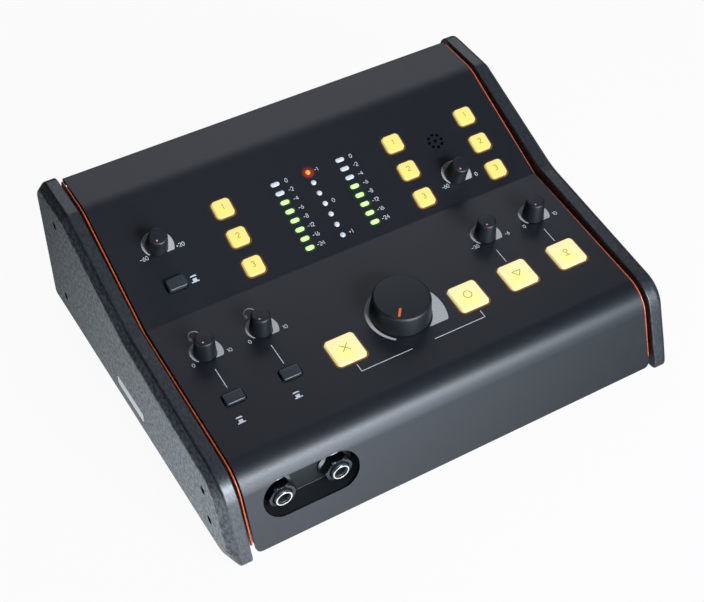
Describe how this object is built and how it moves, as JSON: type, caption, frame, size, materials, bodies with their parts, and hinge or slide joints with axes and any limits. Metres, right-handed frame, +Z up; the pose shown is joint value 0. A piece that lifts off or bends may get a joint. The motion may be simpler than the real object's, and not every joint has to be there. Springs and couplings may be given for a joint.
{
  "type": "studio monitor controller",
  "caption": "Desktop monitor controller: sloping two-part panel between thick side cheeks, rotary knobs, lit push buttons, lamp meters, headphone sockets and rear audio connectors.",
  "frame": {"origin": "on the table, under the middle of the box round the whole unit, rear sockets included", "axes": "+X to the right of a user who faces the panel, +Y to the back, +Z up"},
  "size_m": [0.2618, 0.216, 0.0866],
  "materials": {
    "black_steel": "satin black paint on steel sheet",
    "blank_badge": "fine brushed, blank",
    "board_green": "glass-fibre board with solder mask",
    "connector_black": "moulded connector body",
    "foot_rubber": "matt moulded rubber",
    "knob_soft_black": "soft matt black moulding",
    "lamp_clear": "translucent light guide",
    "lit_cap": "translucent moulding, lit warm yellow from inside",
    "mic_metal": "drawn can",
    "nut_black": "black finished nut",
    "orange_paint": "satin orange paint on steel plate",
    "push_black": "satin black moulding",
    "satin_black_panel": "satin powder coat on folded steel sheet",
    "shaft_steel": "turned",
    "textured_black_cheek": "grained black moulding"
  },
  "bodies": {
    "case": {"chassis_tray": "black_steel", "correlation_light_guide": "lamp_clear", "headphone_nut_1": "nut_black", "headphone_nut_2": "nut_black", "headphone_recess": "black_steel", "headphone_socket_1": "connector_black", "headphone_socket_2": "connector_black", "jack_bank": "connector_black", "left_accent_plate": "orange_paint", "left_badge_plate": "blank_badge", "left_cheek": "textured_black_cheek", "left_front_foot": "foot_rubber", "left_meter_light_guide": "lamp_clear", "left_rear_foot": "foot_rubber", "lower_control_board": "board_green", "mic_capsule": "mic_metal", "power_inlet": "connector_black", "rear_board": "board_green", "rear_panel": "black_steel", "right_accent_plate": "orange_paint", "right_badge_plate": "blank_badge", "right_cheek": "textured_black_cheek", "right_front_foot": "foot_rubber", "right_meter_light_guide": "lamp_clear", "right_rear_foot": "foot_rubber", "top_cover": "satin_black_panel", "upper_control_board": "board_green", "xlr_input_bank": "connector_black", "xlr_output_bank": "connector_black"},
    "aux_level_control": {"aux_level_knob": "knob_soft_black", "aux_level_shaft": "shaft_steel"},
    "cue_level_control": {"cue_level_knob": "knob_soft_black", "cue_level_shaft": "shaft_steel"},
    "dim_level_control": {"dim_level_knob": "knob_soft_black", "dim_level_shaft": "shaft_steel"},
    "main_level_control": {"main_level_knob": "knob_soft_black", "main_level_shaft": "shaft_steel"},
    "phones_1_level_control": {"phones_1_level_knob": "knob_soft_black", "phones_1_level_shaft": "shaft_steel"},
    "phones_2_level_control": {"phones_2_level_knob": "knob_soft_black", "phones_2_level_shaft": "shaft_steel"},
    "talk_level_control": {"talk_level_knob": "knob_soft_black", "talk_level_shaft": "shaft_steel"},
    "cue_button_1_cap": {"cue_button_1": "lit_cap"},
    "cue_button_2_cap": {"cue_button_2": "lit_cap"},
    "cue_button_3_cap": {"cue_button_3": "lit_cap"},
    "dim_button_cap": {"dim_button": "lit_cap"},
    "input_button_1_cap": {"input_button_1": "lit_cap"},
    "input_button_2_cap": {"input_button_2": "lit_cap"},
    "input_button_3_cap": {"input_button_3": "lit_cap"},
    "mono_button_cap": {"mono_button": "lit_cap"},
    "mute_button_cap": {"mute_button": "lit_cap"},
    "output_button_1_cap": {"output_button_1": "lit_cap"},
    "output_button_2_cap": {"output_button_2": "lit_cap"},
    "output_button_3_cap": {"output_button_3": "lit_cap"},
    "talk_button_cap": {"talk_button": "lit_cap"},
    "aux_push_button_cap": {"aux_push_button": "push_black"},
    "phones_1_push_button_cap": {"phones_1_push_button": "push_black"},
    "phones_2_push_button_cap": {"phones_2_push_button": "push_black"},
    "power_rocker_lever": {"power_rocker": "push_black"}
  },
  "joints": [
    {"name": "aux_level_turn", "type": "hinge", "parent": "case", "child": "aux_level_control", "pos_m": [-0.09283, 0.04328, 0.07348], "axis": [0, 0.3907, -0.9205], "range_deg": [0, 285]},
    {"name": "cue_level_turn", "type": "hinge", "parent": "case", "child": "cue_level_control", "pos_m": [0.07497, 0.02126, 0.06413], "axis": [0, 0.3907, -0.9205], "range_deg": [0, 285]},
    {"name": "dim_level_turn", "type": "hinge", "parent": "case", "child": "dim_level_control", "pos_m": [0.06721, -0.01978, 0.05544], "axis": [0, 0.0924, -0.9957], "range_deg": [0, 285]},
    {"name": "main_level_turn", "type": "hinge", "parent": "case", "child": "main_level_control", "pos_m": [0, -0.04324, 0.05326], "axis": [0, 0.0924, -0.9957], "range_deg": [0, 285]},
    {"name": "phones_1_level_turn", "type": "hinge", "parent": "case", "child": "phones_1_level_control", "pos_m": [-0.09823, -0.01978, 0.05544], "axis": [0, 0.0924, -0.9957], "range_deg": [0, 285]},
    {"name": "phones_2_level_turn", "type": "hinge", "parent": "case", "child": "phones_2_level_control", "pos_m": [-0.06721, -0.01978, 0.05544], "axis": [0, 0.0924, -0.9957], "range_deg": [0, 285]},
    {"name": "talk_level_turn", "type": "hinge", "parent": "case", "child": "talk_level_control", "pos_m": [0.09823, -0.01978, 0.05544], "axis": [0, 0.0924, -0.9957], "range_deg": [0, 285]},
    {"name": "cue_button_1_press", "type": "slide", "parent": "case", "child": "cue_button_1_cap", "axis": [0, 0.3907, -0.9205], "range_m": [0, 0.0015], "stiffness_N_per_m": 300},
    {"name": "cue_button_2_press", "type": "slide", "parent": "case", "child": "cue_button_2_cap", "axis": [0, 0.3907, -0.9205], "range_m": [0, 0.0015], "stiffness_N_per_m": 300},
    {"name": "cue_button_3_press", "type": "slide", "parent": "case", "child": "cue_button_3_cap", "axis": [0, 0.3907, -0.9205], "range_m": [0, 0.0015], "stiffness_N_per_m": 300},
    {"name": "dim_button_press", "type": "slide", "parent": "case", "child": "dim_button_cap", "axis": [0, 0.0924, -0.9957], "range_m": [0, 0.0015], "stiffness_N_per_m": 300},
    {"name": "input_button_1_press", "type": "slide", "parent": "case", "child": "input_button_1_cap", "axis": [0, 0.3907, -0.9205], "range_m": [0, 0.0015], "stiffness_N_per_m": 300},
    {"name": "input_button_2_press", "type": "slide", "parent": "case", "child": "input_button_2_cap", "axis": [0, 0.3907, -0.9205], "range_m": [0, 0.0015], "stiffness_N_per_m": 300},
    {"name": "input_button_3_press", "type": "slide", "parent": "case", "child": "input_button_3_cap", "axis": [0, 0.3907, -0.9205], "range_m": [0, 0.0015], "stiffness_N_per_m": 300},
    {"name": "mono_button_press", "type": "slide", "parent": "case", "child": "mono_button_cap", "axis": [0, 0.0924, -0.9957], "range_m": [0, 0.0015], "stiffness_N_per_m": 300},
    {"name": "mute_button_press", "type": "slide", "parent": "case", "child": "mute_button_cap", "axis": [0, 0.0924, -0.9957], "range_m": [0, 0.0015], "stiffness_N_per_m": 300},
    {"name": "output_button_1_press", "type": "slide", "parent": "case", "child": "output_button_1_cap", "axis": [0, 0.3907, -0.9205], "range_m": [0, 0.0015], "stiffness_N_per_m": 300},
    {"name": "output_button_2_press", "type": "slide", "parent": "case", "child": "output_button_2_cap", "axis": [0, 0.3907, -0.9205], "range_m": [0, 0.0015], "stiffness_N_per_m": 300},
    {"name": "output_button_3_press", "type": "slide", "parent": "case", "child": "output_button_3_cap", "axis": [0, 0.3907, -0.9205], "range_m": [0, 0.0015], "stiffness_N_per_m": 300},
    {"name": "talk_button_press", "type": "slide", "parent": "case", "child": "talk_button_cap", "axis": [0, 0.0924, -0.9957], "range_m": [0, 0.0015], "stiffness_N_per_m": 300},
    {"name": "aux_push_button_press", "type": "slide", "parent": "case", "child": "aux_push_button_cap", "axis": [0, 0.3907, -0.9205], "range_m": [0, 0.0025], "stiffness_N_per_m": 200},
    {"name": "phones_1_push_button_press", "type": "slide", "parent": "case", "child": "phones_1_push_button_cap", "axis": [0, 0.0924, -0.9957], "range_m": [-0.0018, 0.0007]},
    {"name": "phones_2_push_button_press", "type": "slide", "parent": "case", "child": "phones_2_push_button_cap", "axis": [0, 0.0924, -0.9957], "range_m": [-0.0018, 0.0007]},
    {"name": "power_rocker_tilt", "type": "hinge", "parent": "case", "child": "power_rocker_lever", "pos_m": [0.09517, 0.10116, 0.05281], "axis": [1, 0, 0], "range_deg": [-16, 0]}
  ]
}
